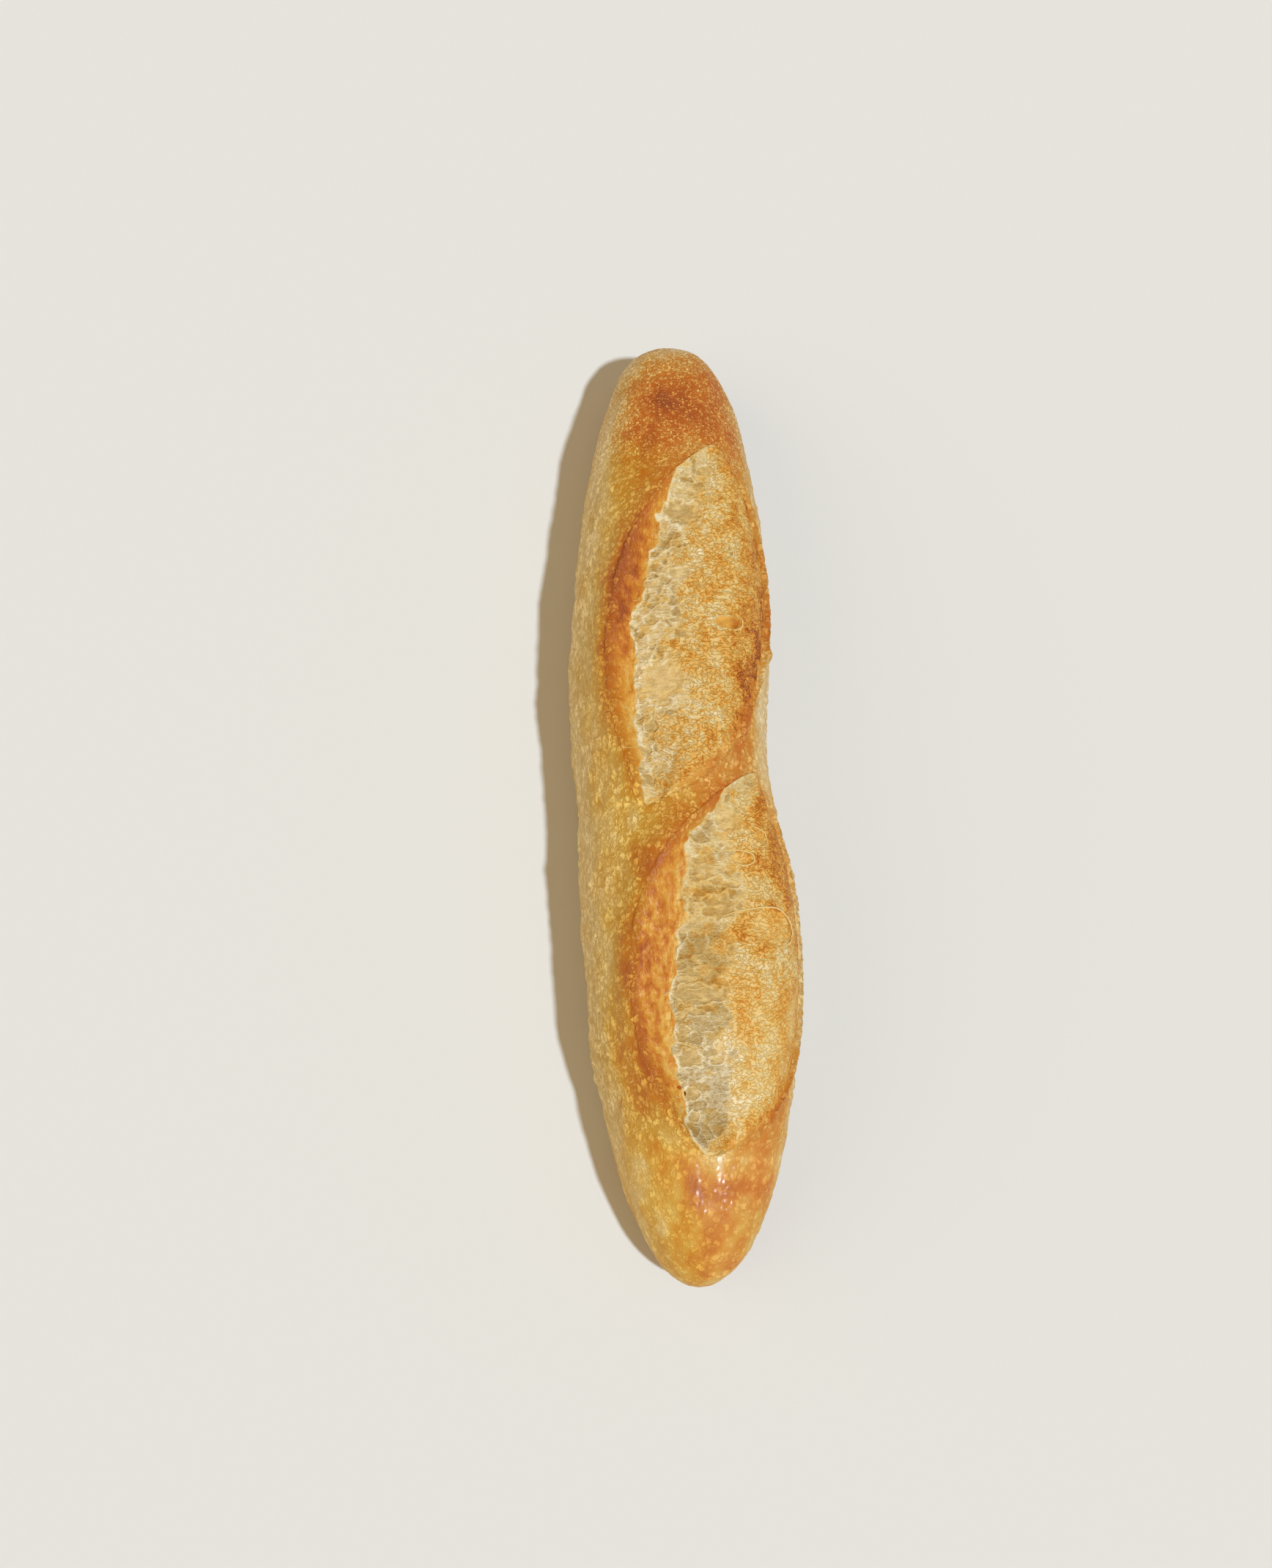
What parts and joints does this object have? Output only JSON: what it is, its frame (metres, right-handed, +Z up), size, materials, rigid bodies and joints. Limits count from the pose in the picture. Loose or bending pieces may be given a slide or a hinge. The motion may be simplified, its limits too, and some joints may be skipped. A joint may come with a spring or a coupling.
{
  "type": "half baguette",
  "caption": "Short crusty stick loaf with long slanted slashes, each opened into an ear beside a torn crumb face. Rests on its flat underside.",
  "frame": {"origin": "middle of the loaf's footprint, on the surface it rests on", "axes": "+Y along the loaf to its blunter end, +X towards the side that the slashes' golden domes bulge to, +Z up"},
  "size_m": [0.0644, 0.275, 0.0487],
  "materials": {
    "crust": "baked golden crust, matt to satin, with pale blisters and darker browned edges",
    "crumb": "matt torn crumb, pale cream in the valleys and golden brown where it swelled out"
  },
  "bodies": {
    "root": {"loaf": "crust"}
  },
  "joints": []
}
